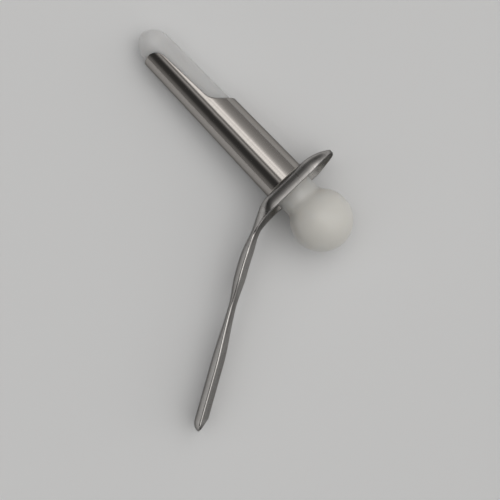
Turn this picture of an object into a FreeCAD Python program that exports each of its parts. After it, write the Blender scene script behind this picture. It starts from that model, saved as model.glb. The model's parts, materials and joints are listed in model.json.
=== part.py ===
import FreeCAD, Part

import math
import os

import Sketcher

# Slotted anoscope with its obturator, in millimetres.
# Design frame: X runs along the barrel from its tip towards the knob, Y towards the slot and the lip,
# Z across the instrument, whose two halves mirror each other. The origin is on the barrel's axis, in
# the plate's distal face. One rotation at the end lays every piece as the instrument lies on a table.

driving = {
    # barrel
    "barrelLength": 90.0,
    "barrelWall": 1.0,
    "mouthOuterRadius": 11.0,
    "tipOuterRadius": 9.7,
    # cut-away side of the barrel
    "slotFoot": 53.4,
    "slotEdgeHeight": 0.5,
    "slotEdgeSlope": 2.4,
    "slotRampAngle": 51.0,
    "slotBlendRadius": 7.5,
    "tipCornerRadius": 7.0,
    # pressed plate: mouth dish and handle in one sheet
    "sheetThickness": 1.2,
    "floorMargin": 1.2,
    "dishWallReach": 4.6,
    "dishWallDepth": 6.8,
    "dishRimHeight": 6.4,
    "lipCurlRadius": 27.0,
    "lipCurlLength": 16.0,
    "neckBendRadius": 18.0,
    "neckBendAngle": 17.0,
    "handleSweepRadius": 135.0,
    "handleAngle": 30.4,
    "handleLength": 132.7,
    "tipCurlRadius": 6.0,
    "tipCurlLength": 7.2,
    "troughRadius": 16.0,
    "neckDistance": 29.5,
    "neckDepth": 1.8,
    "neckLift": 0.9,
    "upperSwellDistance": 46.5,
    "upperSwellLength": 10.0,
    "upperSwellDepth": 3.3,
    "upperSwellLift": 0.12,
    "waistDistance": 67.0,
    "waistDepth": 1.5,
    "waistLift": 1.3,
    "lowerSwellLength": 27.8,
    "lowerSwellDepth": 3.85,
    "lowerSwellLift": 0.45,
    # silver-brazed joint between barrel and plate
    "brazeLeg": 0.8,
    "brazeGap": 0.05,
    # obturator
    "seatClearance": 0.15,
    "shankEndRadius": 8.1,
    "noseProjection": 11.6,
    "noseLength": 10.0,
    "noseTipRadius": 6.0,
    "ballRadius": 15.3,
    "ballDistance": 25.4,
    "ballBlendRadius": 4.0,
}

derived = {
    "boreMouthRadius": "=mouthOuterRadius - barrelWall",
    "boreTipRadius": "=tipOuterRadius - barrelWall",
    "halfWall": "=barrelWall / 2",
    "slotFootHeight": "=slotEdgeHeight + (barrelLength - slotFoot) * tan(slotEdgeSlope)",
    "slotBlendReach": "=slotBlendRadius * tan((slotRampAngle - slotEdgeSlope) / 2)",
    "slotTopHeight": "=mouthOuterRadius + 3",
    "slotTopRun": "=(slotTopHeight - slotFootHeight) / tan(slotRampAngle)",
    "seatRadius": "=boreMouthRadius - seatClearance",
    "noseEnd": "=barrelLength + noseProjection",
    "noseSideRadius": "=((noseLength - noseTipRadius)^2 + shankEndRadius^2 - noseTipRadius^2)"
                      " / (2 * (shankEndRadius - noseTipRadius))",
    "noseJoinScale": "=noseSideRadius / (noseSideRadius - noseTipRadius)",
    "blendCentreRun": "=sqrt((ballRadius + ballBlendRadius)^2 - (seatRadius + ballBlendRadius)^2)",
    "blendScale": "=ballRadius / (ballRadius + ballBlendRadius)",
}

endHalfWidth = 5.0   # half-width of the sheet's rounded ends where their last section lies
rimDrop = 0.5        # how far the rim sinks towards each rounded end
leastRim = 0.12      # depth of the rim where the sheet ends
sectionStep = 6.5    # spacing of the sheet's sections along the handle
wallPoles = 5        # poles of each curved wall of a section
troughFloor = 0.8    # half-width of the flat strip along the bottom of the handle's trough


def fillSheet(doc):
    sheet = doc.addObject("Spreadsheet::Sheet", "Sizes")
    for row, (name, content) in enumerate(list(driving.items()) + list(derived.items()), start=1):
        sheet.set(f"A{row}", name)
        sheet.set(f"B{row}", str(content))
        sheet.setAlias(f"B{row}", name)
    doc.recompute()
    return sheet


def size(sheet, expression):
    """The number that an expression in the sheet's aliases gives now, worked out in a spare cell."""
    if expression in driving or expression in derived:
        return float(sheet.get(expression))
    sheet.set("D1", "=" + expression)
    sheet.recompute()
    return float(sheet.get("D1"))


def bound(expression):
    """The same expression as other objects write it, with each alias found in the sheet."""
    words = sorted(list(driving) + list(derived), key=len, reverse=True)
    text = expression
    for index, word in enumerate(words):
        text = text.replace(word, f"<{index}>")
    for index, word in enumerate(words):
        text = text.replace(f"<{index}>", f"Sizes.{word}")
    return text


def originPlane(body, role):
    return next(feature for feature in body.Origin.OriginFeatures if feature.Role == role)


def outlineSketch(sheet, body, name, corners):
    """A closed outline in the body's XY plane. Each corner is (x, y, edge): edge is None for a straight
    run to the next corner, or (radius, side) for an arc whose centre lies left (1) or right (-1)."""
    sketch = body.newObject("Sketcher::SketchObject", name)
    sketch.AttachmentSupport = (originPlane(body, "XY_Plane"), [""])
    sketch.MapMode = "FlatFace"
    places = [FreeCAD.Vector(size(sheet, x), size(sheet, y), 0) for x, y, _ in corners]
    count = len(corners)
    starts = []
    for index, (_, _, edge) in enumerate(corners):
        first = places[index]
        last = places[(index + 1) % count]
        if edge is None:
            sketch.addGeometry(Part.LineSegment(first, last), False)
            starts.append((1, 2))
            continue
        radius = size(sheet, edge[0])
        chord = last - first
        rise = math.sqrt(max(radius * radius - chord.Length * chord.Length / 4, 0.0))
        left = FreeCAD.Vector(-chord.y, chord.x, 0).normalize()
        centre = (first + last) * 0.5 + left * (rise * edge[1])
        angles = [math.atan2(point.y - centre.y, point.x - centre.x) for point in (first, last)]
        if edge[1] < 0:
            angles.reverse()
        circle = Part.Circle(centre, FreeCAD.Vector(0, 0, 1), radius)
        sketch.addGeometry(Part.ArcOfCircle(circle, angles[0], angles[1]), False)
        starts.append((1, 2) if edge[1] > 0 else (2, 1))
    for index in range(count):
        following = (index + 1) % count
        sketch.addConstraint(
            Sketcher.Constraint("Coincident", index, starts[index][1], following, starts[following][0])
        )
    for index, (x, y, edge) in enumerate(corners):
        for kind, expression, value in (("DistanceX", x, places[index].x), ("DistanceY", y, places[index].y)):
            number = sketch.addConstraint(Sketcher.Constraint(kind, index, starts[index][0], value))
            sketch.setExpression(f"Constraints[{number}]", bound(expression))
        if edge is not None:
            number = sketch.addConstraint(Sketcher.Constraint("Radius", index, size(sheet, edge[0])))
            sketch.setExpression(f"Constraints[{number}]", bound(edge[0]))
    return sketch


def turnedBody(sheet, doc, name, corners):
    """A body turned round the barrel's axis from half of its lengthwise section."""
    body = doc.addObject("PartDesign::Body", name)
    body.Label = name
    sketch = outlineSketch(sheet, body, f"{name}_section", corners)
    turn = body.newObject("PartDesign::Revolution", f"{name}_turned")
    turn.Profile = sketch
    turn.ReferenceAxis = (sketch, ["H_Axis"])
    turn.Angle = 360.0
    sketch.Visibility = False
    doc.recompute()
    return body


def makeBarrel(sheet, doc):
    """Tapered tube with a rounded end. The stretch in the plate is straight, and the slot opens its Y side."""
    body = turnedBody(sheet, doc, "barrel", [
        ("-barrelLength + halfWall", "tipOuterRadius", ("halfWall", 1)),
        ("-barrelLength", "tipOuterRadius - halfWall", ("halfWall", 1)),
        ("-barrelLength + halfWall", "boreTipRadius", None),
        ("sheetThickness", "boreMouthRadius", None),
        ("sheetThickness", "mouthOuterRadius", None),
        ("-brazeLeg", "mouthOuterRadius", None),
    ])
    whole = body.Shape.Volume
    slot = outlineSketch(sheet, body, "slot_outline", [
        ("-barrelLength - barrelWall", "slotTopHeight", None),
        ("-barrelLength - barrelWall", "slotEdgeHeight - tipCornerRadius", None),
        ("-barrelLength", "slotEdgeHeight - tipCornerRadius", ("tipCornerRadius", -1)),
        ("-barrelLength + tipCornerRadius", "slotEdgeHeight", None),
        ("-slotFoot - slotBlendReach * cos(slotEdgeSlope)",
         "slotFootHeight - slotBlendReach * sin(slotEdgeSlope)", ("slotBlendRadius", 1)),
        ("-slotFoot + slotBlendReach * cos(slotRampAngle)",
         "slotFootHeight + slotBlendReach * sin(slotRampAngle)", None),
        ("-slotFoot + slotTopRun", "slotTopHeight", None),
    ])
    cut = body.newObject("PartDesign::Pocket", "slot")
    cut.Profile = slot
    cut.Type = "ThroughAll"
    cut.Midplane = True
    slot.Visibility = False
    body.Tip = cut
    doc.recompute()
    print("barrel volume before and after the slot", round(whole, 1), round(body.Shape.Volume, 1))
    if not body.Shape.Volume < 0.9 * whole:
        raise ValueError("the slot cuts nothing from the barrel")
    return body


def makeObturator(sheet, doc):
    """One turned piece: rounded nose, tapered shank, seat in the mouth, neck and ball knob."""
    return turnedBody(sheet, doc, "obturator", [
        ("-noseEnd", "0", ("noseTipRadius", -1)),
        ("-noseEnd + noseLength - noseJoinScale * (noseLength - noseTipRadius)",
         "(shankEndRadius - noseSideRadius) * (1 - noseJoinScale)", ("noseSideRadius", -1)),
        ("-noseEnd + noseLength", "shankEndRadius", None),
        ("sheetThickness", "seatRadius", None),
        ("ballDistance - blendCentreRun", "seatRadius", ("ballBlendRadius", 1)),
        ("ballDistance - blendCentreRun * blendScale",
         "(seatRadius + ballBlendRadius) * blendScale", ("ballRadius", -1)),
        ("ballDistance + ballRadius", "0", None),
    ])


def makeBrazeFillet(sheet, doc):
    """Hollow-faced ring of filler metal in the corner between barrel and plate."""
    return turnedBody(sheet, doc, "braze_fillet", [
        ("0", "mouthOuterRadius", None),
        ("0", "mouthOuterRadius + brazeLeg", ("brazeLeg", -1)),
        ("-brazeLeg", "mouthOuterRadius", None),
    ])


def floorPlace(sheet, distance):
    """Point, heading and normal on the sheet's distal face at a distance from the barrel's axis along
    the floor line, positive towards the handle. The line is straight runs and tangent arcs."""
    value = {name: size(sheet, name) for name in driving}
    flat = value["mouthOuterRadius"] + 0.5
    sweepTurn = math.radians(value["handleAngle"] - value["neckBendAngle"])
    bends = [
        (value["neckBendRadius"], math.radians(value["neckBendAngle"])),
        (value["handleSweepRadius"], sweepTurn),
    ]
    curl = value["tipCurlLength"]
    straight = value["handleLength"] - curl - flat - sum(radius * turn for radius, turn in bends)
    runs = [(flat, None)] + [(radius * turn, radius) for radius, turn in bends]
    runs += [(straight, None), (2 * curl, value["tipCurlRadius"])]
    if distance < 0:
        runs = [(flat, None), (2 * value["lipCurlLength"], value["lipCurlRadius"])]
    left = abs(distance)
    x, y, angle = 0.0, 0.0, 0.0
    for length, radius in runs:
        step = min(left, length)
        if radius is None:
            x += step * math.sin(angle)
            y += step * math.cos(angle)
        else:
            turned = angle + step / radius
            x += radius * (math.cos(angle) - math.cos(turned))
            y += radius * (math.sin(turned) - math.sin(angle))
            angle = turned
        left -= step
        if left <= 0:
            break
    way = -1.0 if distance >= 0 else 1.0
    point = FreeCAD.Vector(x, way * y, 0)
    normal = FreeCAD.Vector(math.cos(angle), -way * math.sin(angle), 0)
    return point + normal * eased(swells(value, "Lift", 0.0), distance), normal


def eased(keys, distance):
    """Value between the keys (distance, value), level at each key."""
    if distance <= keys[0][0]:
        return keys[0][1]
    for (start, low), (end, high) in zip(keys, keys[1:]):
        if distance <= end:
            share = (distance - start) / (end - start)
            return low + (high - low) * share * share * (3 - 2 * share)
    return keys[-1][1]


def swells(value, kind, start):
    """Keys (distance, value) of the handle's neck, swells and waist, for their Depth or their Lift."""
    half = value["upperSwellLength"] / 2
    lower = value["handleLength"] - value["tipCurlLength"] - value["lowerSwellLength"]
    return [
        (value["mouthOuterRadius"] - 1.5, start),
        (value["neckDistance"], value["neck" + kind]),
        (value["upperSwellDistance"] - half, value["upperSwell" + kind]),
        (value["upperSwellDistance"] + half, value["upperSwell" + kind]),
        (value["waistDistance"], value["waist" + kind]),
        (lower, value["lowerSwell" + kind]),
    ]


def sectionSizes(sheet, distance):
    """Floor half-width, wall reach, wall depth and rim depth of the sheet's section at a distance."""
    value = {name: size(sheet, name) for name in driving}
    floor = value["mouthOuterRadius"] + value["floorMargin"]
    flat = value["mouthOuterRadius"] + 0.5
    trough = value["troughRadius"]
    neck = value["neckDistance"]
    end = value["handleLength"] - value["tipCurlLength"]
    change = [(flat - 2.0, 0.0), (neck + 1.0, 1.0)]
    share = eased(change, distance)
    width = floor + (troughFloor - floor) * share
    reach = value["dishWallReach"] + (trough - value["dishWallReach"]) * share
    depth = value["dishWallDepth"] + (trough - value["dishWallDepth"]) * share
    thickness = value["sheetThickness"]
    rim = eased(swells(value, "Depth", value["dishRimHeight"] - 0.2), distance)
    if distance > end:
        share = min((distance - end) / value["tipCurlLength"], 1.0)
        angle = share * value["tipCurlLength"] / value["tipCurlRadius"]
        level = 1 - rim / trough
        top = rim + thickness * level - rimDrop * share * share
        top -= value["tipCurlRadius"] * (1 - math.cos(angle))
        rim = top / math.cos(angle) - thickness * (level + (1 - level) * share * share)
        rim = max(rim, leastRim)
    if distance < -flat:
        point, normal = floorPlace(sheet, distance)
        share = min((-distance - flat) / value["lipCurlLength"], 1.0)
        top = value["dishRimHeight"] - rimDrop * share
        rim = max((top - point.x) / normal.x - thickness * share * share, leastRim)
        width = endHalfWidth + (floor - endHalfWidth) * (1 - share ** 3) ** 0.5
    return width, reach, depth, rim


def sheetSection(sheet, distance):
    """Section of the pressed sheet, square to the floor line, as the poles of its eight edges in turn:
    outer floor, then wall, rim, wall, inner floor, wall, rim and wall."""
    point, normal = floorPlace(sheet, distance)
    width, reach, depth, rim = sectionSizes(sheet, distance)
    thickness = size(sheet, "sheetThickness")
    full = math.acos(1 - rim / depth)

    def curve(inset):
        angles = [full * step / (wallPoles - 1) for step in range(wallPoles)]
        return [
            (width + (reach - inset) * math.sin(angle), depth - (depth - inset) * math.cos(angle))
            for angle in angles
        ]

    outer, inner = curve(0.0), curve(thickness)
    near = [outer, [outer[-1], inner[-1]], inner[::-1]]
    far = [[(-out, up) for out, up in reversed(edge)] for edge in reversed(near)]
    below = [(-width, 0.0), (width, 0.0)]
    above = [(width, thickness), (-width, thickness)]
    edges = [below] + near + [above] + far
    return [[point + FreeCAD.Vector(0, 0, out) + normal * up for out, up in edge] for edge in edges]


def sectionDistances(sheet):
    """Where the sheet's sections lie: close together at the two rounded ends and round the mouth."""
    lip = size(sheet, "mouthOuterRadius + 0.5")
    curl = size(sheet, "lipCurlLength")
    length = size(sheet, "handleLength")
    tip = size(sheet, "tipCurlLength")
    places = [-lip - curl * share for share in (1.0, 0.88, 0.72, 0.5, 0.25)]
    places += [-lip, -0.5 * lip, 0.0, 0.5 * lip, lip]
    start = lip + 3.5
    end = length - tip
    steps = max(round((end - start) / sectionStep), 8)
    places += [start + (end - start) * step / steps for step in range(steps + 1)]
    places += [end + tip * share for share in (0.25, 0.5, 0.7, 0.84, 0.94, 1.0)]
    return places


def evenSurface(rows):
    """Smooth surface over a grid of poles, at most cubic each way, that starts and ends on them."""
    counts = (len(rows), len(rows[0]))
    degrees = [min(3, count - 1) for count in counts]
    knots = [list(range(count - degree + 1)) for count, degree in zip(counts, degrees)]
    repeats = [
        [degree + 1] + [1] * (len(knot) - 2) + [degree + 1] for knot, degree in zip(knots, degrees)
    ]
    surface = Part.BSplineSurface()
    surface.buildFromPolesMultsKnots(
        rows, repeats[0], repeats[1], knots[0], knots[1], False, False, degrees[0], degrees[1]
    )
    return surface


def pressedSheet(sheet):
    """Solid between eight smooth strips that run the whole length. A loft of wires pairs their corners
    wrongly where the dish closes in, so each strip is built from the sections' own poles."""
    sections = [sheetSection(sheet, distance) for distance in sectionDistances(sheet)]
    strips = [evenSurface(list(rows)) for rows in zip(*sections)]
    faces = [strip.toShape() for strip in strips]
    for end in (0, 1):
        rim = [strip.uIso(strip.bounds()[end]).toShape() for strip in strips]
        faces.append(Part.Face(Part.Wire(rim)))
    shell = Part.Shell(faces)
    shell.sewShape()
    solid = Part.Solid(shell)
    if solid.Volume < 0:
        solid.reverse()
    return solid


def makePlate(sheet, doc):
    """The mouth dish and the handle are one pressing, pierced for the barrel."""
    pressing = doc.addObject("Part::Feature", "pressing")
    pressing.Shape = pressedSheet(sheet)
    hole = doc.addObject("Part::Cylinder", "mouth_hole")
    hole.setExpression("Radius", bound("mouthOuterRadius + brazeGap"))
    hole.setExpression("Height", bound("sheetThickness * 4"))
    hole.Placement = FreeCAD.Placement(
        FreeCAD.Vector(0, 0, 0), FreeCAD.Rotation(FreeCAD.Vector(0, 1, 0), 90)
    )
    hole.setExpression("Placement.Base.x", bound("-sheetThickness"))
    plate = doc.addObject("Part::Cut", "handle_plate")
    plate.Label = "handle_plate"
    plate.Base = pressing
    plate.Tool = hole
    doc.recompute()
    return plate


def restRotation(sheet):
    """Rotation that lays the instrument on a table: on the barrel's tip, the dish's rim by the handle
    and the handle's lower swell. Each is taken as a disc round the plane of symmetry."""
    rim, _ = floorPlace(sheet, 8.0)
    width, reach, depth, height = sectionSizes(sheet, 8.0)
    swellDistance = size(sheet, "handleLength - tipCurlLength - lowerSwellLength / 4")
    swell, normal = floorPlace(sheet, swellDistance)
    swellWidth, swellReach, swellDepth, swellHeight = sectionSizes(sheet, swellDistance)
    discs = [
        (size(sheet, "-barrelLength + halfWall"), 0.0, size(sheet, "tipOuterRadius")),
        (rim.x + height, rim.y, width + reach * math.sin(math.acos(1 - height / depth))),
        (swell.x + normal.x * swellHeight, swell.y + normal.y * swellHeight,
         swellWidth + swellReach * math.sin(math.acos(1 - swellHeight / swellDepth))),
    ]
    (x0, y0, r0), (x1, y1, r1), (x2, y2, r2) = discs
    scale = (x1 - x0) * (y2 - y0) - (x2 - x0) * (y1 - y0)
    alongX = ((r1 - r0) * (y2 - y0) - (r2 - r0) * (y1 - y0)) / scale
    alongY = ((x1 - x0) * (r2 - r0) - (x2 - x0) * (r1 - r0)) / scale
    up = FreeCAD.Vector(alongX, alongY, math.sqrt(1 - alongX ** 2 - alongY ** 2))
    forward = FreeCAD.Vector(1, 0, 0)
    forward = (forward - up * forward.dot(up)).normalize()
    side = up.cross(forward)
    return FreeCAD.Rotation(FreeCAD.Matrix(
        forward.x, forward.y, forward.z, 0,
        side.x, side.y, side.z, 0,
        up.x, up.y, up.z, 0,
        0, 0, 0, 1,
    ))


doc = FreeCAD.newDocument("anoscope")
sheet = fillSheet(doc)
pieces = [
    makeBarrel(sheet, doc),
    makePlate(sheet, doc),
    makeBrazeFillet(sheet, doc),
    makeObturator(sheet, doc),
]
lying = FreeCAD.Placement(FreeCAD.Vector(0, 0, 0), restRotation(sheet))
for piece in pieces:
    piece.Placement = lying
doc.recompute()
for item in doc.Objects:
    if "Invalid" in item.State or "Error" in item.State:
        raise ValueError(f"{item.Name} failed: {item.State}")
for piece in pieces:
    if piece.Shape.isNull() or not piece.Shape.isValid():
        raise ValueError(f"{piece.Label} has no valid shape")
    print(piece.Label, "volume", round(piece.Shape.Volume, 1), "solids", len(piece.Shape.Solids))
os.makedirs("parts", exist_ok=True)
for piece in pieces:
    piece.Shape.exportStep(f"parts/{piece.Label}.step")
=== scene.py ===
import json
import math

import bmesh
import bpy
import numpy as np
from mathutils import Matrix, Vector


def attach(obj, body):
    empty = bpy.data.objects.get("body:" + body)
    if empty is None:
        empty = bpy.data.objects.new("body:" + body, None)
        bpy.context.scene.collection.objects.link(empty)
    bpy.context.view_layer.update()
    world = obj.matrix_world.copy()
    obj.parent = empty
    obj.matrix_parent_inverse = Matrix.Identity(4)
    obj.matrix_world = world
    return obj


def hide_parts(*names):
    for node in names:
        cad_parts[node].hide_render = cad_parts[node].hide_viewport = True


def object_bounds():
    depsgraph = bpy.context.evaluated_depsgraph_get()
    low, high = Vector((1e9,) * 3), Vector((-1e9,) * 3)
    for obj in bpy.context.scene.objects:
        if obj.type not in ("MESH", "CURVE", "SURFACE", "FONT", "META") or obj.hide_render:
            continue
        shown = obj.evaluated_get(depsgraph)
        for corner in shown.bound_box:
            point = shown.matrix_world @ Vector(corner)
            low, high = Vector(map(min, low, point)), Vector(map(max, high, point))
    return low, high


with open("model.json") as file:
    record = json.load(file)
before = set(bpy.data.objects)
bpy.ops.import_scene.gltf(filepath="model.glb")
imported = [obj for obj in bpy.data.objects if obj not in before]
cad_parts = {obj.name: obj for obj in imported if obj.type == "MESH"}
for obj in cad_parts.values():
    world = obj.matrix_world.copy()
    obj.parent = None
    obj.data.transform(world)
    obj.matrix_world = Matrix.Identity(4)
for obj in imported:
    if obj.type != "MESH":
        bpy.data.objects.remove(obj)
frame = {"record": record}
cadBox = [list(corner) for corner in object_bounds()]
print("frame loaded")

# The pieces are worked out in millimetres in a frame along the barrel, X towards the knob and Y towards
# the slot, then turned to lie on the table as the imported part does.
mounts = {mount["name"]: np.array(mount["axis"]) for mount in frame["record"]["mounts"]}
barrelWay = mounts["barrel_mouth"] / np.linalg.norm(mounts["barrel_mouth"])
gripWay = mounts["handle_grip"] / np.linalg.norm(mounts["handle_grip"])
acrossWay = np.cross(gripWay, barrelWay)
acrossWay /= np.linalg.norm(acrossWay)
slotWay = np.cross(acrossWay, barrelWay)
lying = np.stack([barrelWay, slotWay, acrossWay])

# Metres and UV units in a millimetre, the distances in metres within which points are joined and edges
# dropped, the angle over which an edge is sharp, and the columns round a turned piece.
mesh = {
    "metres": 0.001, "uv": 0.01, "joinWithin": 5e-7, "leastEdge": 1e-7, "sharpAngle": 40.0, "columns": 160,
}


# A mesh from points in millimetres and faces of point numbers. Points that meet are joined, so seams and
# poles close. The attribute inside, from 0 to 1, tells the steel how far it is inside the pressed sheet:
# how much painted shade darkens its color and how much rougher it is.
def addPiece(name, points, faces, uv, place, inside=None):
    data = bpy.data.meshes.new(name)
    flat = np.asarray(points).reshape(-1, 3) @ lying * mesh["metres"]
    data.from_pydata(flat.tolist(), [], np.asarray(faces).tolist())
    shade = data.attributes.new("inside", "FLOAT", "POINT")
    shade.data.foreach_set("value", np.zeros(len(flat), np.float32) if inside is None else inside.ravel())
    corners = np.empty(len(data.loops), np.int32)
    data.loops.foreach_get("vertex_index", corners)
    layer = data.uv_layers.new(name="surface")
    layer.data.foreach_set("uv", np.asarray(uv, np.float32).reshape(-1, 2)[corners].ravel())
    joined = bmesh.new()
    joined.from_mesh(data)
    bmesh.ops.remove_doubles(joined, verts=joined.verts, dist=mesh["joinWithin"])
    bmesh.ops.dissolve_degenerate(joined, edges=joined.edges, dist=mesh["leastEdge"])
    bmesh.ops.recalc_face_normals(joined, faces=joined.faces)
    joined.to_mesh(data)
    joined.free()
    data.polygons.foreach_set("use_smooth", [True] * len(data.polygons))
    data.set_sharp_from_angle(angle=math.radians(mesh["sharpAngle"]))
    piece = bpy.data.objects.new(name, data)
    bpy.context.scene.collection.objects.link(piece)
    data.materials.append(place["material"])
    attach(piece, place["body"])
    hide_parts(place["node"])
    print(name, "built with", len(data.polygons), "faces")


# Quads of a grid as rows of four point numbers, with the grid's shape kept for masking.
def gridFaces(rows, columns, wrap=False):
    row = np.arange(rows - 1)[:, None]
    column = np.arange(columns if wrap else columns - 1)[None, :]
    following = (column + 1) % columns
    corners = [row * columns + column, row * columns + following]
    corners += [(row + 1) * columns + following, (row + 1) * columns + column]
    return np.stack(np.broadcast_arrays(*corners), axis=-1)


# Grid of a profile of (x, radius) pairs turned round the barrel's axis, with its faces and UVs:
# y = radius times the cosine of the turn, z = radius times its sine.
def turned(profile):
    profile = np.asarray(profile)
    points = mesh["columns"] + 1
    angle = np.linspace(0, 2 * np.pi, points)
    x = np.broadcast_to(profile[:, :1], (len(profile), points))
    y = profile[:, 1:] * np.cos(angle)
    z = profile[:, 1:] * np.sin(angle)
    length = np.concatenate([[0], np.cumsum(np.hypot(*np.diff(profile, axis=0).T))])
    uv = np.stack(np.broadcast_arrays(length[:, None] * mesh["uv"], angle / (2 * np.pi)), axis=-1)
    return np.stack([x, y, z], axis=-1), gridFaces(len(profile), points).reshape(-1, 4), uv


# Points of an arc in the (x, radius) plane, angles in degrees.
def arc(centre, radius, start, end, count):
    angle = np.radians(np.linspace(start, end, count))
    return np.stack([centre[0] + radius * np.cos(angle), centre[1] + radius * np.sin(angle)], axis=-1)


# Value between keys (distance, value), level at each key: low + (high - low) times 3s^2 - 2s^3, where s
# is the share of the way.
def eased(keys, distance):
    value = np.full_like(distance, keys[0][1])
    for (start, low), (end, high) in zip(keys, keys[1:]):
        share = np.clip((distance - start) / (end - start), 0, 1)
        value = value + (high - low) * share ** 2 * (3 - 2 * share)
    return value


# Materials


def newMaterial(name):
    material = bpy.data.materials.new(name)
    material.use_nodes = True
    tree = material.node_tree
    return material, tree, tree.nodes["Principled BSDF"]


# A node with its settings. Each input takes a value or another node's output.
def addNode(tree, kind, inputs, **settings):
    node = tree.nodes.new("ShaderNode" + kind)
    for name, value in settings.items():
        setattr(node, name, value)
    for socket, source in inputs.items():
        if isinstance(source, bpy.types.NodeSocket):
            tree.links.new(source, node.inputs[socket])
        else:
            node.inputs[socket].default_value = source
    return node


# Sets a ramp's stops from pairs of a place and a color. The first place becomes 0 and the last 1.
def fillRamp(ramp, stops):
    marks = ramp.color_ramp.elements
    while len(marks) < len(stops):
        marks.new(0.5)
    first, last = stops[0][0], stops[-1][0]
    for mark, (place, color) in zip(marks, stops):
        mark.position = (place - first) / (last - first)
        mark.color = (*color, 1)


# Noise behind all scratches, and the part of its range that the mask spreads from 0 to 1.
scratchNoise = {"detail": 4.0, "roughness": 0.65, "low": 0.3, "high": 0.7}


# Fine scratches stretched over the surface's UV map: a mask from 0 to 1 and the given normal, bumped by it.
def brushingGroup():
    group = bpy.data.node_groups.new("brushing", "ShaderNodeTree")
    for name in ("Along", "Across", "Height"):
        group.interface.new_socket(name, in_out="INPUT", socket_type="NodeSocketFloat")
    group.interface.new_socket("Normal", in_out="INPUT", socket_type="NodeSocketVector")
    group.interface.new_socket("Mask", in_out="OUTPUT", socket_type="NodeSocketFloat")
    group.interface.new_socket("Normal", in_out="OUTPUT", socket_type="NodeSocketVector")
    given, result = group.nodes.new("NodeGroupInput"), group.nodes.new("NodeGroupOutput")
    place = addNode(group, "UVMap", {}, uv_map="surface")
    apart = addNode(group, "SeparateXYZ", {0: place.outputs["UV"]})
    scaled = {
        axis: addNode(
            group, "Math", {0: apart.outputs[axis], 1: given.outputs[name]}, operation="MULTIPLY"
        ).outputs[0]
        for axis, name in (("X", "Along"), ("Y", "Across"))
    }
    together = addNode(group, "CombineXYZ", scaled)
    noise = addNode(group, "TexNoise", {
        "Vector": together.outputs[0], "Scale": 1.0,
        "Detail": scratchNoise["detail"], "Roughness": scratchNoise["roughness"],
    })
    mask = addNode(group, "MapRange", {
        "Value": noise.outputs["Fac"], "From Min": scratchNoise["low"], "From Max": scratchNoise["high"],
    })
    bump = addNode(group, "Bump", {
        "Strength": 1.0, "Distance": given.outputs["Height"], "Height": noise.outputs["Fac"],
        "Normal": given.outputs["Normal"],
    })
    group.links.new(mask.outputs[0], result.inputs["Mask"])
    group.links.new(bump.outputs[0], result.inputs["Normal"])
    return group


brushing = brushingGroup()


# A color multiplied by the darkening where the mask is 1.
def darkened(tree, color, mask, darkening):
    return addNode(tree, "Mix", {
        "Factor": mask, "A": color, "B": (*[darkening] * 3, 1),
    }, data_type="RGBA", blend_type="MULTIPLY").outputs["Result"]


# Color and roughness of steel with the pressed sheet's inside: rougher, and darker by streaked painted
# shade, as far as the attribute says. The roughness is already full at the dish's share of painted shade.
def insideSteelWithPaintedShade(tree, color, roughness, look):
    share = addNode(tree, "Attribute", {}, attribute_name="inside").outputs["Fac"]
    streaks = addNode(tree, "Group", {
        "Along": look["along"], "Across": look["across"],
    }, node_tree=brushing)
    uneven = addNode(tree, "MapRange", {"Value": streaks.outputs["Mask"], "To Min": look["least"]})
    # painted shade: the color darkens by the inside share times the streaks
    mask = addNode(tree, "Math", {0: share, 1: uneven.outputs[0]}, operation="MULTIPLY")
    rougher = addNode(tree, "MapRange", {
        "Value": share, "From Max": look["dishPaintedShade"], "To Max": look["roughness"],
    })
    total = addNode(tree, "Math", {0: roughness, 1: rougher.outputs[0]}, operation="ADD")
    return darkened(tree, color, mask.outputs[0], look["darkening"]), total.outputs[0]


# Stainless steel. Each layer of scratches darkens the color a little and bends the normal of the one
# before, and the first sets the roughness.
def steelMaterial(look):
    material, tree, shader = newMaterial(look["name"])
    shader.inputs["Metallic"].default_value = 1.0
    shader.inputs["Specular Tint"].default_value = (*[look["edgeTint"]] * 3, 1)
    color = (*look["color"], 1)
    normal = addNode(tree, "NewGeometry", {}).outputs["Normal"]
    masks = []
    for layer in look["scratches"]:
        scratches = addNode(tree, "Group", {
            "Along": layer["along"], "Across": layer["across"], "Height": layer["height"], "Normal": normal,
        }, node_tree=brushing)
        color = darkened(tree, color, scratches.outputs["Mask"], layer["darkening"])
        normal = scratches.outputs["Normal"]
        masks.append(scratches.outputs["Mask"])
    smooth, rough = look["roughness"]
    roughness = addNode(tree, "MapRange", {"Value": masks[0], "To Min": smooth, "To Max": rough}).outputs[0]
    if "inside" in look:
        color, roughness = insideSteelWithPaintedShade(tree, color, roughness, look["inside"])
    for name, source in (("Base Color", color), ("Roughness", roughness), ("Normal", normal)):
        tree.links.new(source, shader.inputs[name])
    return material


# Milky plastic that lets light in a little way. Its color changes along the barrel, from nose to knob,
# darker where the shank lies inside the barrel: painted shade.
def plasticMaterial(look):
    material, tree, shader = newMaterial(look["name"])
    place = addNode(tree, "TexCoord", {})
    along = addNode(tree, "VectorMath", {
        0: place.outputs["Object"], 1: barrelWay.tolist(),
    }, operation="DOT_PRODUCT")
    share = addNode(tree, "MapRange", {
        "Value": along.outputs["Value"], "From Min": look["colorsWithPaintedShade"][0][0], "From Max": look["colorsWithPaintedShade"][-1][0],
    })
    ramp = addNode(tree, "ValToRGB", {"Fac": share.outputs[0]})
    fillRamp(ramp, look["colorsWithPaintedShade"])
    tree.links.new(ramp.outputs["Color"], shader.inputs["Base Color"])
    for name, value in look["shader"].items():
        shader.inputs[name].default_value = value
    return material


# Barrel

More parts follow.
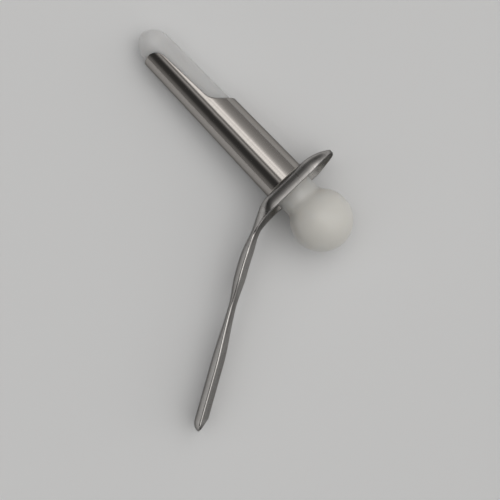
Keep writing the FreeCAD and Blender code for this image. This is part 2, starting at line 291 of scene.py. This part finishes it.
barrel = {
    "length": 90.0, "wall": 1.0, "mouthRadius": 11.0, "tipRadius": 9.7, "spigot": 1.2, "straight": 0.8,
    "slotFoot": 53.4, "edgeHeight": 0.5, "edgeSlope": 2.4, "rampAngle": 51.0, "blendRadius": 7.5,
    "cornerRadius": 7.0,
    # rounding of the cut edge, the share of its width that stays flat, the height below the slot's top
    # where it fades, the most it grows where the edge is steep, and the rows past the tip where it doesn't
    "edgeRound": 0.22, "edgeFlat": 0.5, "edgeFade": 1.5, "edgeMost": 1.7, "edgeEven": 3,
    # rows of the tip's edge, corner, gentle line, ramp and closed tube, where the ramp's rows start, and
    # points round the tube and across its cut edge
    "edgeRows": 7, "cornerRows": 26, "lineRows": 20, "rampRows": 90, "tubeRows": 14, "rampStart": 57.5,
    "around": 120, "across": 8,
    "look": {
        "name": "barrel_steel", "color": (0.465, 0.44, 0.418), "roughness": (0.09, 0.16), "edgeTint": 0.4,
        "scratches": [{"along": 300.0, "across": 6.0, "height": 0.000005, "darkening": 0.93}],
    },
}


# Height of the slot's edge over the barrel's axis, from the tip: a corner's quarter circle, a line at the
# gentle slope, a blend arc tangent to it, and a line at the ramp's angle.
def slotHeight(x):
    lean, climb = math.radians(barrel["edgeSlope"]), math.radians(barrel["rampAngle"])
    footHeight = barrel["edgeHeight"] + (barrel["length"] - barrel["slotFoot"]) * math.tan(lean)
    reach = barrel["blendRadius"] * math.tan((climb - lean) / 2)
    startX = -barrel["slotFoot"] - reach * math.cos(lean)
    startY = footHeight - reach * math.sin(lean)
    endX = -barrel["slotFoot"] + reach * math.cos(climb)
    centreX = startX - barrel["blendRadius"] * math.sin(lean)
    centreY = startY + barrel["blendRadius"] * math.cos(lean)
    radius = barrel["cornerRadius"]
    corner = -barrel["length"] + radius
    rounded = barrel["edgeHeight"] - radius + np.sqrt(np.maximum(radius ** 2 - (x - corner) ** 2, 0))
    line = barrel["edgeHeight"] + (x - corner) * (startY - barrel["edgeHeight"]) / (startX - corner)
    blend = centreY - np.sqrt(np.maximum(barrel["blendRadius"] ** 2 - (x - centreX) ** 2, 0))
    ramp = footHeight + (x + barrel["slotFoot"]) * math.tan(climb)
    return np.select([x < corner, x < startX, x < endX], [rounded, line, blend], ramp)


# Outer radius: a straight stretch at the mouth, then an even taper to the tip.
def barrelRadius(x):
    share = np.clip((-x - barrel["straight"]) / (barrel["length"] - barrel["straight"]), 0, 1)
    return barrel["mouthRadius"] + (barrel["tipRadius"] - barrel["mouthRadius"]) * share


# Where the slot's ramp meets the taper of the outer radius: the crossing of two straight lines, from the
# gap between them at two places over the ramp.
def slotTop():
    low, high = -barrel["slotFoot"] / 2, -barrel["straight"]
    lowGap, highGap = [barrelRadius(x) - float(slotHeight(np.float64(x))) for x in (low, high)]
    return low + (high - low) * lowGap / (lowGap - highGap)


# Places of the rows along the barrel, half the wall there and how many rows have the slot open: a half
# circle round the tip's edge, the corner, the gentle line, the ramp with rows drawn together towards its
# top, and the closed tube.
def barrelRows():
    half, tip, top = barrel["wall"] / 2, -barrel["length"], slotTop()
    swing = np.linspace(np.pi / 2, 0, barrel["edgeRows"])
    edge = tip + half - half * np.sin(swing)
    quarter = np.linspace(0, np.pi / 2, barrel["cornerRows"])[1:]
    corner = tip + half + (barrel["cornerRadius"] - half) * (1 - np.cos(quarter))
    line = np.linspace(corner[-1], -barrel["rampStart"], barrel["lineRows"])[1:]
    ramp = top - (top + barrel["rampStart"]) * np.linspace(1, 0, barrel["rampRows"])[1:] ** 2
    tube = np.linspace(top, barrel["spigot"], barrel["tubeRows"])[1:]
    x = np.concatenate([edge, corner, line, ramp, tube])
    thick = np.concatenate([half * np.cos(swing), np.full(len(x) - len(edge), half)])
    return x, thick, len(x) - len(tube) - 1


# Each row is a loop: outside, cut edge, inside and back over the other cut edge. The cut edge lies at the
# angle whose cosine is the slot's height over the radius. Where the slot has closed, the two cut edges
# meet and their faces are left out. The last row is closed with a ring at the mouth.
def buildBarrel():
    x, thick, openRows = barrelRows()
    middle = barrelRadius(x) - barrel["wall"] / 2
    outer, inner = middle + thick, middle - thick
    height = np.minimum(slotHeight(x), outer)
    isOpen = np.arange(len(x)) < openRows
    steepness = np.sqrt(1 + np.gradient(height, x) ** 2)
    steepness[:barrel["edgeRows"] + barrel["edgeEven"]] = 1.0
    fade = np.sqrt(np.clip((outer - height) / barrel["edgeFade"], 0, 1))
    give = fade * np.minimum(steepness, barrel["edgeMost"]) * isOpen
    share = np.linspace(0, 1, barrel["across"] + 1)
    bulge = np.clip((np.abs(2 * share - 1) - barrel["edgeFlat"]) / (1 - barrel["edgeFlat"]), 0, 1)
    drop = barrel["edgeRound"] * (1 - np.sqrt(1 - bulge ** 2))
    edgeRadius = outer[:, None] + (inner - outer)[:, None] * share
    edgeHeight = height[:, None] - drop * give[:, None]
    edgeAngle = np.arccos(np.clip(edgeHeight / edgeRadius, -1, 1)) * isOpen[:, None]
    around = np.linspace(0, 1, barrel["around"] + 1)
    spanOut = edgeAngle[:, :1] + (2 * np.pi - 2 * edgeAngle[:, :1]) * around
    spanIn = edgeAngle[:, -1:] + (2 * np.pi - 2 * edgeAngle[:, -1:]) * around[::-1]
    angle = np.concatenate([spanOut, 2 * np.pi - edgeAngle[:, 1:-1], spanIn, edgeAngle[:, -2:0:-1]], axis=1)
    radius = np.concatenate([
        np.repeat(outer[:, None], len(around), axis=1), edgeRadius[:, 1:-1],
        np.repeat(inner[:, None], len(around), axis=1), edgeRadius[:, -2:0:-1],
    ], axis=1)
    points = np.stack([
        np.broadcast_to(x[:, None], angle.shape), radius * np.cos(angle), radius * np.sin(angle)
    ], axis=-1)
    rows, columns = angle.shape
    column = np.arange(columns)
    outerLast = barrel["around"]
    innerFirst = outerLast + barrel["across"]
    innerLast = innerFirst + barrel["around"]
    cutEdge = ((column >= outerLast) & (column < innerFirst)) | (column >= innerLast)
    faces = gridFaces(rows, columns, wrap=True)[isOpen[:-1, None] | ~cutEdge[None, :]]
    first = (rows - 1) * columns
    ring = np.arange(barrel["around"])
    outside, inside = first + ring, first + innerLast - ring
    rim = np.stack([outside, outside + 1, inside - 1, inside], axis=-1)
    uv = np.stack(np.broadcast_arrays(x[:, None] * mesh["uv"], angle / (2 * np.pi)), axis=-1)
    addPiece("barrel", points, np.concatenate([faces, rim]), uv, {
        "material": steelMaterial(barrel["look"]), "body": "speculum", "node": "barrel",
        "slot": "polished_steel",
    })


buildBarrel()


# Mouth dish and handle, one pressed sheet

plate = {
    "thickness": 1.2, "holeRadius": 11.05, "flat": 11.5, "floor": 12.2, "reach": 4.6, "depth": 6.8,
    "rim": 6.4, "lipRadius": 27.0, "lipLength": 16.0, "neckRadius": 18.0, "neckAngle": 17.0,
    "sweepRadius": 135.0, "handleAngle": 30.4, "length": 132.7, "tipRadius": 6.0, "tipLength": 7.2,
    "trough": 16.0, "troughFloor": 0.8, "endHalfWidth": 5.0, "rimDrop": 0.5, "leastRim": 0.12,
    # powers that round the ends: a higher one keeps the lip wide, or the tip's rim high, for longer
    "lipPower": 3, "tipPower": 8,
    # how far before the flat's end the dish starts to turn into the trough, how far beyond the first key
    # it has turned, and how much lower its rim is there
    "turnBefore": 2.0, "turnBeyond": 1.0, "turnDrop": 0.2,
    # distance along the floor line, depth of the rim and lift of the floor: neck, swell, waist, swell
    "keys": (
        (29.5, 1.8, 0.9), (41.5, 3.3, 0.12), (51.5, 3.3, 0.12), (67.0, 1.5, 1.3), (97.7, 3.85, 0.45),
    ),
    # rows of the lip, of the floor before the hole, past the hole, of the handle and of its tip, points
    # across floor and wall, and degrees of the points round the wall's edge
    "lipRows": 46, "gapRows": 4, "holeRows": 81, "handleRows": 190, "tipRows": 36,
    "floorPoints": 8, "wallPoints": 17, "crownDegrees": (30, 60, 90, 120, 150),
    # distance where the dish's outside has lost its painted shade, and the length over which it fades
    "shadeEnd": 22.0, "shadeLength": 8.0,
    "look": {
        "name": "plate_steel", "color": (0.735, 0.715, 0.695), "roughness": (0.13, 0.25), "edgeTint": 0.25,
        "scratches": [
            {"along": 170.0, "across": 5.0, "height": 0.00001, "darkening": 0.88},
            {"along": 0.7, "across": 80.0, "height": 0.00012, "darkening": 0.86},
        ],
        "inside": {
            # painted shade darkens the sheet's inside: the streaks' share of that darkening is at least
            # this, and the dish's outside has this share of it and of the added roughness
            "darkening": 0.28, "roughness": 0.12, "along": 12.0, "across": 900.0, "least": 0.3,
            "dishPaintedShade": 0.45,
        },
    },
}


# Keys for the rim's depth (column 1) or the floor's lift (column 2), from the mouth onwards.
def swells(column, start):
    return ((plate["flat"] - plate["turnBefore"], start),) + tuple(
        (key[0], key[column]) for key in plate["keys"]
    )


# Points and normals of the sheet's far face along its middle, towards the handle where the distance is
# positive: straight runs and tangent arcs, moved along the normal by the floor's lift.
def floorLine(distance):
    turn = [math.radians(plate["neckAngle"]), math.radians(plate["handleAngle"] - plate["neckAngle"])]
    radii = (plate["neckRadius"], plate["sweepRadius"])
    bends = [(radius * angle, radius) for radius, angle in zip(radii, turn)]
    straight = plate["length"] - plate["tipLength"] - plate["flat"] - bends[0][0] - bends[1][0]
    handle = [(plate["flat"], None)] + bends + [(straight, None)]
    handle += [(2 * plate["tipLength"], plate["tipRadius"])]
    lip = [(plate["flat"], None), (2 * plate["lipLength"], plate["lipRadius"])]
    result = []
    for runs, side in ((handle, 1), (lip, -1)):
        left = np.maximum(distance * side, 0)
        x, y, angle = np.zeros_like(left), np.zeros_like(left), np.zeros_like(left)
        for length, radius in runs:
            step = np.clip(left, 0, length)
            if radius is None:
                x, y = x + step * np.sin(angle), y + step * np.cos(angle)
            else:
                after = angle + step / radius
                x = x + radius * (np.cos(angle) - np.cos(after))
                y = y + radius * (np.sin(after) - np.sin(angle))
                angle = after
            left = left - step
        result.append(np.stack([x, -side * y, np.cos(angle), side * np.sin(angle)]))
    line = np.where(distance >= 0, result[0], result[1])
    line[:2] += line[2:] * eased(swells(2, 0.0), distance)
    return line


# Floor half-width, wall reach, wall depth and rim depth of the sheet along its length. Where an end curls
# up, the rim's depth is what is left of its height over the curled floor, and at the handle's tip it also
# falls along a rounded line to the least rim.
def sheetSection(distance):
    flat = plate["flat"]
    line = floorLine(distance)
    troughStart = plate["keys"][0][0] + plate["turnBeyond"]
    share = eased(((flat - plate["turnBefore"], 0.0), (troughStart, 1.0)), distance)
    width = plate["floor"] + (plate["troughFloor"] - plate["floor"]) * share
    reach = plate["reach"] + (plate["trough"] - plate["reach"]) * share
    depth = plate["depth"] + (plate["trough"] - plate["depth"]) * share
    rim = eased(swells(1, plate["rim"] - plate["turnDrop"]), distance)
    end = plate["length"] - plate["tipLength"]
    closing = np.clip((distance - end) / plate["tipLength"], 0, 1)
    turn = closing * plate["tipLength"] / plate["tipRadius"]
    level = 1 - rim / plate["trough"]
    top = rim + plate["thickness"] * level - plate["tipRadius"] * (1 - np.cos(turn))
    endRim = top / np.cos(turn) - plate["thickness"] * (level + (1 - level) * closing ** 2)
    left = np.maximum(endRim - plate["leastRim"], 0) * np.sqrt(1 - closing ** plate["tipPower"])
    rim = np.where(distance > end, plate["leastRim"] + left, rim)
    lip = np.clip((-distance - flat) / plate["lipLength"], 0, 1)
    top = plate["rim"] - plate["rimDrop"] * lip
    lipRim = np.maximum((top - line[0]) / line[2] - plate["thickness"] * lip ** 2, plate["leastRim"])
    rim = np.where(distance < -flat, lipRim, rim)
    fuller = (plate["floor"] - plate["endHalfWidth"]) * np.sqrt(1 - lip ** plate["lipPower"])
    width = np.where(distance < -flat, plate["endHalfWidth"] + fuller, width)
    return line, width, reach, depth, rim


# Places of the rows along the sheet, and the number of the first one at the hole.
def plateRows():
    flat, hole = plate["flat"], plate["holeRadius"]
    end = plate["length"] - plate["tipLength"]
    lip = -flat - plate["lipLength"] * np.sin(np.linspace(np.pi / 2, 0, plate["lipRows"]))
    gap = np.linspace(-flat, -hole, plate["gapRows"])[1:-1]
    past = -hole * np.cos(np.linspace(0, np.pi, plate["holeRows"]))
    handle = np.linspace(hole, end, plate["handleRows"])[1:]
    tip = end + plate["tipLength"] * np.sin(np.linspace(0, np.pi / 2, plate["tipRows"])[1:])
    return np.concatenate([lip, gap, past, handle, tip]), len(lip) + len(gap)


# Each row is a half section: outer floor, wall, rounded edge, wall and inner floor. A wall is an arc of an
# ellipse: out = width + reach sin(t), up = depth - depth cos(t). The floor starts at the hole for the
# barrel. Towards each end the sheet thins to nothing along a half circle, which rounds its edge. The half
# is mirrored, and the seam joined.
def buildPlate():
    distance, firstAtHole = plateRows()
    line, width, reach, depth, rim = [np.asarray(value)[..., None] for value in sheetSection(distance)]
    middle = plate["thickness"] / 2
    toEnd = np.minimum(distance - distance[0], distance[-1] - distance)
    half = middle * np.sqrt(1 - np.clip(1 - toEnd / middle, 0, 1) ** 2)[:, None]
    full = np.arccos(1 - rim / depth)
    start = np.sqrt(np.maximum(plate["holeRadius"] ** 2 - distance ** 2, 0))[:, None]
    floors = np.linspace(0, 1, plate["floorPoints"] + 1)[:-1]
    walls = np.linspace(0, 1, plate["wallPoints"])
    out, up = [], []
    for inset, order in ((middle - half, 1), (middle + half, -1)):
        angle = full * walls
        wallOut = width + (reach - inset) * np.sin(angle)
        wallUp = depth - (depth - inset) * np.cos(angle)
        floorUp = np.broadcast_to(inset, (len(full), len(floors)))
        out.append(np.concatenate([start + (width - start) * floors, wallOut], axis=1)[:, ::order])
        up.append(np.concatenate([floorUp, wallUp], axis=1)[:, ::order])
    crownTurn = np.radians(plate["crownDegrees"])
    centreOut, centreUp = (out[0][:, -1:] + out[1][:, :1]) / 2, (up[0][:, -1:] + up[1][:, :1]) / 2
    sideOut, sideUp = (out[0][:, -1:] - out[1][:, :1]) / 2, (up[0][:, -1:] - up[1][:, :1]) / 2
    crownOut = centreOut + sideOut * np.cos(crownTurn) - sideUp * np.sin(crownTurn)
    crownUp = centreUp + sideUp * np.cos(crownTurn) + sideOut * np.sin(crownTurn)
    # Painted shade: the dish's outside gets its share, fading out along the handle, and the sheet's inside
    # gets it in full.
    fade = np.clip((plate["shadeEnd"] - distance[:, None]) / plate["shadeLength"], 0, 1)
    dish = fade * plate["look"]["inside"]["dishPaintedShade"]
    outside = np.broadcast_to(dish, (len(distance), out[0].shape[1] + len(crownTurn)))
    inside = np.concatenate([outside, np.ones(out[1].shape)], axis=1)
    out = np.concatenate([out[0], crownOut, out[1]], axis=1)
    up = np.concatenate([up[0], crownUp, up[1]], axis=1)
    rows, columns = out.shape
    points = np.stack([line[0] + line[2] * up, line[1] + line[3] * up, out], axis=-1)
    faces = gridFaces(rows, columns, wrap=True)
    kept = np.ones(faces.shape[:2], bool)
    kept[:, -1] = False
    kept[firstAtHole:firstAtHole + plate["holeRows"] - 1, -1] = True
    faces = faces[kept]
    faces = np.concatenate([faces, faces[:, ::-1] + rows * columns])
    uv = np.stack(np.broadcast_arrays(distance[:, None], out), axis=-1) * mesh["uv"]
    addPiece("handle_plate", [points, points * np.array([1, 1, -1])], faces, [uv, uv * np.array([1, -1])], {
        "material": steelMaterial(plate["look"]), "body": "speculum", "node": "handle_plate",
        "slot": "satin_steel",
    }, np.stack([inside, inside]))


buildPlate()


# Silver-brazed corner between barrel and plate

braze = {
    "leg": 0.8, "points": 12,
    "look": {
        "name": "braze_silver", "color": (0.62, 0.59, 0.54), "roughness": (0.3, 0.42), "edgeTint": 1.0,
        "scratches": [{"along": 30.0, "across": 30.0, "height": 0.00001, "darkening": 0.9}],
    },
}


# Ring with a hollow face, closed against the barrel and the plate.
def buildBraze():
    leg, radius = braze["leg"], barrel["mouthRadius"]
    hollow = arc((-leg, radius + leg), leg, 0, -90, braze["points"])
    points, faces, uv = turned(np.concatenate([hollow, [(0.0, radius)], hollow[:1]]))
    addPiece("braze_fillet", points, faces, uv, {
        "material": steelMaterial(braze["look"]), "body": "speculum", "node": "braze_fillet",
        "slot": "silver_braze",
    })


buildBraze()


# Obturator

obturator = {
    "noseEnd": 101.6, "noseLength": 10.0, "noseTip": 6.0, "endRadius": 8.1, "seatRadius": 9.85, "seat": 1.2,
    "ball": 15.3, "ballDistance": 25.4, "blend": 4.0,
    # points of each of the nose's arcs, of the shank, the neck, the blend and the ball
    "nosePoints": 24, "shankPoints": 24, "neckPoints": 6, "blendPoints": 12, "ballPoints": 60,
    "look": {
        "name": "milky_plastic",
        # metres along the barrel from its mouth, and the color there; the darker colors inside the barrel
        # are painted shade
        "colorsWithPaintedShade": (
            (-0.105, (0.70, 0.70, 0.70)), (-0.088, (0.59, 0.59, 0.59)), (-0.01, (0.57, 0.575, 0.57)),
            (0.015, (0.69, 0.68, 0.65)), (0.045, (0.69, 0.68, 0.64)),
        ),
        "shader": {
            "Roughness": 0.32, "IOR": 1.49, "Subsurface Weight": 1.0,
            "Subsurface Radius": (1.0, 0.95, 0.9), "Subsurface Scale": 0.02,
        },
    },
}


# One turned profile: two arcs of the nose, tapered shank, neck, hollow blend and ball.
def buildObturator():
    tip, end, nose = obturator["noseTip"], obturator["endRadius"], obturator["noseLength"]
    side = ((nose - tip) ** 2 + end ** 2 - tip ** 2) / (2 * (end - tip))
    centre = (-obturator["noseEnd"] + nose, end - side)
    tipCentre = -obturator["noseEnd"] + tip
    join = math.degrees(math.atan2(-centre[1], tipCentre - centre[0]))
    ball, blend, seat = obturator["ball"], obturator["blend"], obturator["seatRadius"]
    run = math.sqrt((ball + blend) ** 2 - (seat + blend) ** 2)
    neckEnd = obturator["ballDistance"] - run
    meet = math.degrees(math.atan2(seat + blend, -run))
    shank = [(centre[0], end), (obturator["seat"], seat), (neckEnd, seat)]
    profile = np.concatenate([
        arc((tipCentre, 0.0), tip, 180, join, obturator["nosePoints"]),
        arc(centre, side, join, 90, obturator["nosePoints"])[1:],
        np.linspace(shank[0], shank[1], obturator["shankPoints"])[1:],
        np.linspace(shank[1], shank[2], obturator["neckPoints"])[1:],
        arc((neckEnd, seat + blend), blend, -90, meet - 180, obturator["blendPoints"])[1:],
        arc((obturator["ballDistance"], 0.0), ball, meet, 0, obturator["ballPoints"])[1:],
    ])
    profile[0, 1] = profile[-1, 1] = 0.0
    points, faces, uv = turned(profile)
    addPiece("obturator", points, faces, uv, {
        "material": plasticMaterial(obturator["look"]), "body": "obturator", "node": "obturator",
        "slot": "white_plastic",
    })


buildObturator()


# Floor, light and camera

studio = {
    "floorColor": (0.78, 0.785, 0.79), "floorRoughness": 0.8, "floorShine": 0.2, "floorReach": 3.0,
    # metres, degrees, and the photo's scale in metres a pixel
    "aim": (0.0120, -0.0350), "cameraHeight": 0.62, "roll": 46.5, "photoScale": 0.000484, "pixels": 500,
    "sensorWidth": 36.0, "nearest": 0.01,
    "lamps": (
        {
            "name": "key", "place": (0.10, 0.62, 1.05), "size": (0.9, 0.5), "power": 1.65,
            "color": (1.0, 0.99, 0.97),
        },
        {
            "name": "fill", "place": (-0.35, -0.65, 1.00), "size": (1.3, 1.3), "power": 2.3,
            "color": (1.0, 1.0, 1.0),
        },
    ),
}

room = {
    "tint": (1.0, 0.985, 0.965), "strength": 1.66,
    # degrees from straight up, negative away from the slot, and brightness
    "bands": (
        (-90, 0.17), (-72, 0.11), (-62, 0.04), (-50, 0.03), (-38, 0.03), (-33, 0.05), (-28, 0.15),
        (-22, 0.37), (-14, 0.12), (-10, 0.14), (-5, 0.88), (3, 0.92), (10, 0.76), (18, 1.0), (26, 0.53),
        (34, 0.38), (42, 0.29), (50, 0.25), (67, 0.19), (90, 0.17),
    ),
    # where along X the room starts to dim, where it ends and what is left there
    "dimming": ((-0.30, -0.75, 0.10), (0.40, 0.90, 0.35)),
    # bright patch low beyond the knob: its direction, cosines at its edge and its core, and strength
    "window": {"way": (0.63, 0.667, 0.39), "edge": 0.93, "core": 0.985, "strength": 3.2},
}


def buildFloor():
    lowest = min(corner[2] for corner in cadBox)
    reach = studio["floorReach"]
    corners = [(-reach, -reach), (reach, -reach), (reach, reach), (-reach, reach)]
    data = bpy.data.meshes.new("floor")
    data.from_pydata([(x, y, lowest) for x, y in corners], [], [(0, 1, 2, 3)])
    floor = bpy.data.objects.new("floor", data)
    bpy.context.scene.collection.objects.link(floor)
    material, _, shader = newMaterial("floor")
    shader.inputs["Base Color"].default_value = (*studio["floorColor"], 1)
    shader.inputs["Roughness"].default_value = studio["floorRoughness"]
    shader.inputs["Specular IOR Level"].default_value = studio["floorShine"]
    data.materials.append(material)


# Rectangular soft lamp aimed at the origin, not seen in reflections.
def addLamp(look):
    lamp = bpy.data.lights.new(look["name"], "AREA")
    lamp.shape = "RECTANGLE"
    lamp.size, lamp.size_y = look["size"]
    lamp.energy = look["power"]
    lamp.color = look["color"]
    holder = bpy.data.objects.new(look["name"], lamp)
    bpy.context.scene.collection.objects.link(holder)
    holder.location = look["place"]
    holder.rotation_euler = (-Vector(look["place"])).to_track_quat("-Z", "Y").to_euler()
    holder.visible_glossy = False


# Dim room round the object, as bands across its breadth: bright over the slot side, dark over the other.
def buildRoom():
    world = bpy.data.worlds.new("room")
    bpy.context.scene.world = world
    world.use_nodes = True
    tree = world.node_tree
    background = tree.nodes["Background"]
    way = addNode(tree, "TexCoord", {}).outputs["Generated"]
    apart = addNode(tree, "SeparateXYZ", {0: way})
    angle = addNode(tree, "Math", {0: apart.outputs["Y"], 1: apart.outputs["Z"]}, operation="ARCTAN2")
    share = addNode(tree, "MapRange", {
        "Value": angle.outputs[0], "From Min": -math.pi / 2, "From Max": math.pi / 2,
    })
    ramp = addNode(tree, "ValToRGB", {"Fac": share.outputs[0]})
    fillRamp(ramp, [(degrees, brightness * np.array(room["tint"])) for degrees, brightness in room["bands"]])
    tree.links.new(ramp.outputs["Color"], background.inputs["Color"])
    strength = room["strength"]
    for start, end, left in room["dimming"]:
        dimming = addNode(tree, "MapRange", {
            "Value": apart.outputs["X"], "From Min": start, "From Max": end, "To Min": 1.0, "To Max": left,
        }, interpolation_type="SMOOTHSTEP")
        product = addNode(tree, "Math", {0: dimming.outputs[0], 1: strength}, operation="MULTIPLY")
        strength = product.outputs[0]
    window = room["window"]
    cosine = addNode(tree, "VectorMath", {0: way, 1: window["way"]}, operation="DOT_PRODUCT")
    patch = addNode(tree, "MapRange", {
        "Value": cosine.outputs["Value"], "From Min": window["edge"], "From Max": window["core"],
        "To Min": 0.0, "To Max": window["strength"],
    }, interpolation_type="SMOOTHSTEP")
    total = addNode(tree, "Math", {0: strength, 1: patch.outputs[0]}, operation="ADD")
    tree.links.new(total.outputs[0], background.inputs["Strength"])


# Camera straight above, as far turned as in the photo and with its scale at the origin's height.
def buildCamera():
    scene = bpy.context.scene
    data = bpy.data.cameras.new("camera")
    camera = bpy.data.objects.new("camera", data)
    scene.collection.objects.link(camera)
    camera.location = (*studio["aim"], studio["cameraHeight"])
    camera.rotation_euler = (0, 0, math.radians(studio["roll"]))
    data.sensor_width = studio["sensorWidth"]
    seen = studio["pixels"] * studio["photoScale"]
    data.lens = studio["sensorWidth"] * studio["cameraHeight"] / seen
    data.clip_start = studio["nearest"]
    scene.camera = camera
    scene.view_settings.view_transform = "Standard"


buildFloor()
buildRoom()
for look in studio["lamps"]:
    addLamp(look)
buildCamera()
print("floor, room, lamps and camera built")
